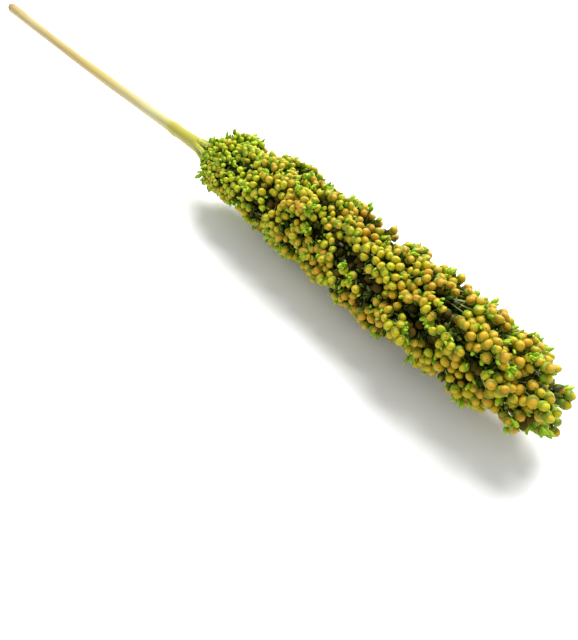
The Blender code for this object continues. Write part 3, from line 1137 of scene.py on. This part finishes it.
def bump(tree, shader, height, distance, strength):
    """Fine relief on the shader, with its distance in metres."""
    values = {"Distance": distance, "Strength": strength}
    node = add_node(tree, "ShaderNodeBump", values, {"Height": height})
    tree.links.new(node.outputs["Normal"], shader.inputs["Normal"])


# %% [markdown]
# ### Seed coat
#
# The grain's skin is a waxy, hard shell: smooth enough for a soft highlight, mottled in patches of
# about a millimetre. It is painted darker at the foot, as the shade of the husks, and paler on top,
# as painted light. Colour goes from yellow-green through olive to ochre with ripeness, and a few
# seeds turn orange. The deeper seeds are dull, and painted dark brown as shade.

# %% Seed coat
BLOTCHES_PER_METRE = 420
SKIN_GRAIN_PER_METRE = 1500
seed_coat, tree, shader = new_material(
    "waxy_grain_skin", Roughness=0.44, IOR=1.38, Specular_IOR_Level=0.33
)
base = ramp(
    tree,
    attribute(tree, "ripeness"),
    [(0.0, "#A4BC00"), (0.3, "#A6AA04"), (0.55, "#B09E0C"), (0.8, "#B88E16"), (1.0, "#B87C18")],
)
orange = mask(tree, attribute(tree, "tone"), 0.90, 0.98)
base = mixed(tree, orange, base, "#B47A18")
blotch = mask(tree, object_noise(tree, BLOTCHES_PER_METRE), 0.35, 0.68)
base = tinted(tree, base, blotch, 0.25, "#C0A41E")
# Painted light: the top of each seed is made paler, as if lit from outside.
painted_light_on_top = mask(tree, attribute(tree, "rise"), 0.62, 0.9)
base = tinted(tree, base, painted_light_on_top, 0.3, "#D0C634")
# Painted shade: the foot of each seed is darkened, where the husks and neighbours shade it.
foot = mask(tree, attribute(tree, "rise"), 0.74, 0.32)
base = tinted(tree, base, foot, 0.85, "#463E08")
speck = mask(tree, attribute(tree, "rise"), 0.975, 0.995)
base = mixed(tree, speck, base, "#3A2A10")
bump(tree, shader, object_noise(tree, SKIN_GRAIN_PER_METRE, 2.0), 0.00008, 0.6)
coat(seed_coat, base, *seed_pieces[:2])

shaded_coat, tree, shader = new_material("dull_grain_in_painted_shade", Roughness=0.85, Specular_IOR_Level=0.1)
# The deeper seeds' whole coat is painted shade: a dark brown copy of the grain skin.
base = ramp(tree, attribute(tree, "tone"), [(0.0, "#4A400A"), (0.3, "#564810"), (0.5, "#604812")])
# with patches of still darker painted shade
shade = mask(tree, object_noise(tree, BLOTCHES_PER_METRE), 0.35, 0.68)
base = tinted(tree, base, shade, 0.5, "#1C1806")
bump(tree, shader, object_noise(tree, SKIN_GRAIN_PER_METRE, 2.0), 0.00008, 0.6)
coat(shaded_coat, base, seed_pieces[2])
print("skins on", [piece.name for piece in seed_pieces])

# %% [markdown]
# ### Husks and spikelets
#
# Fresh husk is thin leaf: light green where it is young, olive as it dries, with a paler point. Deep
# between the bunches it is painted dark brown, as shade.

# %% Leafy husk
leaf_husk, tree, shader = new_material("thin_green_husk", Roughness=0.5, IOR=1.36)
base = ramp(tree, attribute(tree, "tone"), [(0.0, "#749C02"), (0.5, "#6C8E04"), (1.0, "#84A00C")])
husk_age = ramp(tree, attribute(tree, "ripeness"), [(0.2, "#000000"), (0.9, "#C0C0C0")])
base = mixed(tree, husk_age, base, "#82781C")
point = mask(tree, attribute(tree, "rise"), 0.6, 1.0)
base = tinted(tree, base, point, 0.5, "#A0BA34")
# Painted shade: the husks of the deeper seeds are darkened to brown.
base = tinted(tree, base, attribute(tree, "depth"), 0.78, "#1A1604")
bump(tree, shader, object_noise(tree, 1800, 2.0), 0.0001, 0.5)
coat(leaf_husk, base, husks)

fresh_leaf, tree, shader = new_material("fresh_spikelet_green", Roughness=0.5, IOR=1.36)
base = ramp(tree, attribute(tree, "tone"), [(0.0, "#628C04"), (0.5, "#86AC08"), (1.0, "#AAC41C")])
point = mask(tree, attribute(tree, "rise"), 0.55, 1.0)
base = tinted(tree, base, point, 0.5, "#B2D034")
# Painted shade: each blade is darker towards its foot, where it leaves the seeds.
foot = mask(tree, attribute(tree, "rise"), 0.5, 0.05)
base = tinted(tree, base, foot, 0.8, "#2E4A06")
# Painted shade: the spikelets in the gaps are darkened to brown.
base = tinted(tree, base, attribute(tree, "depth"), 0.8, "#201C06")
coat(fresh_leaf, base, *spikelet_pieces)
print("skins on", husks.name, [piece.name for piece in spikelet_pieces])

# %% [markdown]
# ### Twigs, branches and the dark inside
#
# Twigs and branches have green-grey bark, blotched in patches of a few millimetres. A branch is
# light where it leaves the stem, and painted dark inside the head, as shade.

# %% Bark and shade
BARK_PATCHES_PER_METRE = 300
BRANCH_SHADE_STARTS = NECK_X + 0.008
BRANCH_SHADE_FULL = NECK_X + 0.03
twig_skin, tree, shader = new_material("pale_twig_skin", Roughness=0.55)
bark = object_noise(tree, BARK_PATCHES_PER_METRE)
base = ramp(tree, bark, [(0.3, "#76822A"), (0.7, "#A8AA5A")])
coat(twig_skin, base, twigs, bare_stems)

branch_skin, tree, shader = new_material("green_branch_skin", Roughness=0.5)
bark = object_noise(tree, BARK_PATCHES_PER_METRE)
base = ramp(tree, bark, [(0.3, "#8A8E12"), (0.7, "#B6B834")])
# Painted shade: a branch is darkened once it runs inside the head.
painted_shade_inward = share_along_x(tree, BRANCH_SHADE_STARTS, BRANCH_SHADE_FULL)
base = mixed(tree, painted_shade_inward, base, "#3E4410")
bump(tree, shader, object_noise(tree, 900), 0.0002, 0.6)
coat(branch_skin, base, branches)

inner_dark, tree, shader = new_material("packed_husk_shade", Roughness=0.9, Specular_IOR_Level=0.1)
# Near black: painted shade over the packed branches and husks inside.
base = ramp(tree, object_noise(tree, 260), [(0.3, "#0C0A02"), (0.7, "#201C06")])
bump(tree, shader, object_noise(tree, 500), 0.001, 0.8)
coat(inner_dark, base, inner_mass)
print("skins on", twigs.name, bare_stems.name, branches.name, inner_mass.name)

# %% [markdown]
# ### Straw
#
# The stem's skin is glossy straw with fibres along it. It is pale yellow-green for most of its
# length, tan at the cut end and olive past the knot. The fibres are noise stretched along X.

# %% Straw
FIBRES_PER_METRE = (6.0, 900.0, 900.0)
STRAW_COLOURS = (
    (0.0, "#A88450"), (0.03, "#C1A66B"), (0.15, "#BFAF7B"), (0.45, "#B9A361"), (0.58, "#BCAA61"),
    (0.74, "#BEB47F"), (0.83, "#BEBA89"), (0.885, "#B8B270"), (0.90, "#AAA33C"), (1.0, "#9FA12A"),
)
straw, tree, shader = new_material("smooth_straw_skin", Roughness=0.42, IOR=1.45)
base = ramp(tree, share_along_x(tree, start.x, NECK_X), STRAW_COLOURS)
place = add_node(tree, "ShaderNodeTexCoord").outputs["Object"]
stretched = add_node(tree, "ShaderNodeMapping", {"Scale": FIBRES_PER_METRE}, {"Vector": place})
values = {"Scale": 1.0, "Detail": 3.0}
links = {"Vector": stretched.outputs["Vector"]}
fibre = add_node(tree, "ShaderNodeTexNoise", values, links).outputs["Fac"]
base = tinted(tree, base, mask(tree, fibre, 0.35, 0.7), 0.45, "#A08A3A")
bump(tree, shader, fibre, 0.00015, 0.6)
coat(straw, base, stem)
print("skin on", stem.name)

# %% [markdown]
# ## Table, light and background
#
# The head lies on plain white under a broad soft light from above and behind, with a faint one from
# the front and white all round.

# %% Table and light
TABLE_SIZE = 6.0
ROOM_BRIGHTNESS = 0.62
LIGHT_TARGET = Vector((0, 0, 0.02))
LIGHTS = (
    ("key_light", (-0.25, 0.5, 0.8), 0.6, 18.4),
    ("fill_light", (0.5, -0.7, 0.7), 0.9, 1.5),
)
bpy.ops.object.select_all(action="DESELECT")
bpy.ops.mesh.primitive_plane_add(size=TABLE_SIZE, location=(0, 0, 0))
table = bpy.context.object
table.name = "table"
paper, tree, shader = new_material("white_table", Roughness=0.9)
shader.inputs["Base Color"].default_value = colour("#F4F4F4")
table.data.materials.append(paper)
for name, place, size, power in LIGHTS:
    lamp = bpy.data.objects.new(name, bpy.data.lights.new(name, "AREA"))
    lamp.data.size = size
    lamp.data.energy = power
    lamp.location = place
    lamp.rotation_mode = "QUATERNION"
    lamp.rotation_quaternion = (LIGHT_TARGET - Vector(place)).to_track_quat("-Z", "Y")
    bpy.context.scene.collection.objects.link(lamp)
world = bpy.data.worlds.new("white_room")
world.use_nodes = True
room = world.node_tree.nodes["Background"]
room.inputs["Color"].default_value = (1, 1, 1, 1)
room.inputs["Strength"].default_value = ROOM_BRIGHTNESS
bpy.context.scene.world = world
bpy.context.scene.view_settings.view_transform = "Standard"
print("table and", len(LIGHTS), "lights")

# %% [markdown]
# ## Handing over
#
# The forms that were only patterns for the copies are removed. Each piece rides on the part's one
# body, and the solid that it stands for is hidden.

# %% Ride, replace and finish
for form in (seed_form, husk_form, spikelet_form, twig_form):
    bpy.data.objects.remove(form)
for piece in (*seed_pieces, husks, *spikelet_pieces, bare_stems, twigs, branches, inner_mass):
    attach(piece, "root")
    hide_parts("seed_head")
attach(stem, "root")
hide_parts("stalk")
